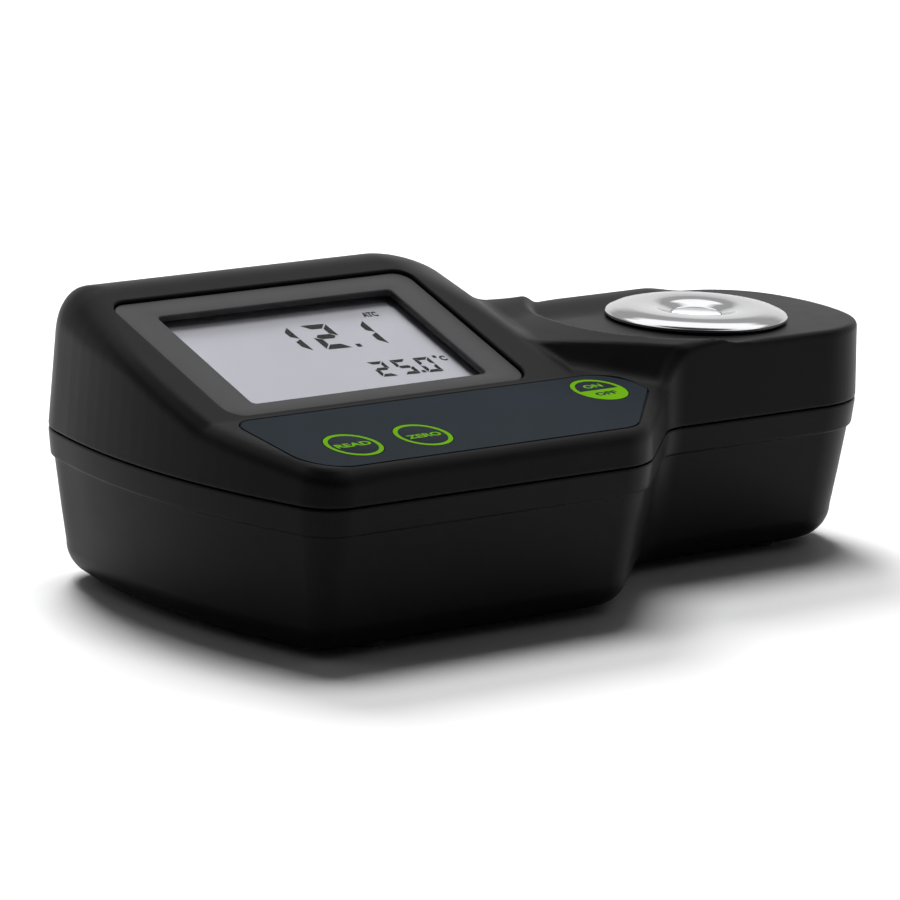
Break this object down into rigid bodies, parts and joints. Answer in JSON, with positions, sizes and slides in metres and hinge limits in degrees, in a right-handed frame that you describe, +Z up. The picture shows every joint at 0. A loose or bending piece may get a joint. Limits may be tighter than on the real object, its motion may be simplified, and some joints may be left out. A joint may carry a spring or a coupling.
{
  "type": "digital refractometer",
  "caption": "Handheld digital refractometer with a sloping display, a keypad and a polished steel sample well over its prism.",
  "frame": {"origin": "on the table, under the middle of the case's length and width", "axes": "+X along the case from the display block to the sample ring, +Y away from the keys, +Z up"},
  "size_m": [0.192, 0.104, 0.0654],
  "materials": {
    "case_plastic": "satin",
    "bezel_plastic": "satin",
    "overlay_film": "fine matt",
    "key_plastic": "satin",
    "clear_plastic": "clear",
    "cell_glass": "grey",
    "polished_steel": "mirror polished stainless steel",
    "prism_glass": "clear",
    "black_rubber": "matt",
    "board_laminate": "satin",
    "chip_resin": "matt",
    "inner_plastic": "matt",
    "spring_steel": "plain",
    "lamp_epoxy": "clear yellow",
    "battery_jacket": "satin",
    "foam_pad": "foam",
    "cord_sheath": "matt"
  },
  "bodies": {
    "case": {"bottom_shell": "case_plastic", "top_shell": "case_plastic", "shell_gasket": "black_rubber", "case_screw_1": "spring_steel", "case_screw_2": "spring_steel", "case_screw_3": "spring_steel", "case_screw_4": "spring_steel", "foot_1": "black_rubber", "foot_2": "black_rubber", "foot_3": "black_rubber", "foot_4": "black_rubber", "display_bezel": "bezel_plastic", "display_window": "clear_plastic", "display_glass": "cell_glass", "display_holder": "inner_plastic", "display_contact_1": "black_rubber", "display_contact_2": "black_rubber", "main_board": "board_laminate", "main_processor": "chip_resin", "lead_socket": "inner_plastic", "board_screw_1": "spring_steel", "board_screw_2": "spring_steel", "board_screw_3": "spring_steel", "board_screw_4": "spring_steel", "keypad_overlay": "overlay_film", "read_dome": "spring_steel", "zero_dome": "spring_steel", "power_dome": "spring_steel", "key_board": "board_laminate", "key_board_screw_1": "spring_steel", "key_board_screw_2": "spring_steel", "key_cable": "cord_sheath", "sample_ring": "polished_steel", "ring_seal": "black_rubber", "prism": "prism_glass", "optics_block": "inner_plastic", "ring_screw_1": "spring_steel", "ring_screw_2": "spring_steel", "lamp": "lamp_epoxy", "lens": "prism_glass", "image_sensor": "chip_resin", "sensor_board": "board_laminate", "sensor_screw_1": "spring_steel", "sensor_screw_2": "spring_steel", "thermistor": "chip_resin", "sensor_cable": "cord_sheath", "battery": "battery_jacket", "battery_snap": "inner_plastic", "battery_lead": "cord_sheath"},
    "read_key": {"read_key": "key_plastic"},
    "zero_key": {"zero_key": "key_plastic"},
    "power_key": {"power_key": "key_plastic"},
    "battery_cover": {"battery_cover": "case_plastic", "battery_cover_seal": "black_rubber", "battery_pad": "foam_pad"}
  },
  "joints": [
    {"name": "read_press", "type": "slide", "parent": "case", "child": "read_key", "axis": [0, 0.1409, -0.99], "range_m": [0, 0.00025], "stiffness_N_per_m": 6000, "deforming": ["read_dome"]},
    {"name": "zero_press", "type": "slide", "parent": "case", "child": "zero_key", "axis": [0, 0.1409, -0.99], "range_m": [0, 0.00025], "stiffness_N_per_m": 6000, "deforming": ["zero_dome"]},
    {"name": "power_press", "type": "slide", "parent": "case", "child": "power_key", "axis": [0, 0.1409, -0.99], "range_m": [0, 0.00025], "stiffness_N_per_m": 6000, "deforming": ["power_dome"]},
    {"name": "battery_cover_turn", "type": "hinge", "parent": "case", "child": "battery_cover", "pos_m": [-0.043, 0, 0.0012], "axis": [0, 0, -1], "range_deg": [0, 40]}
  ]
}
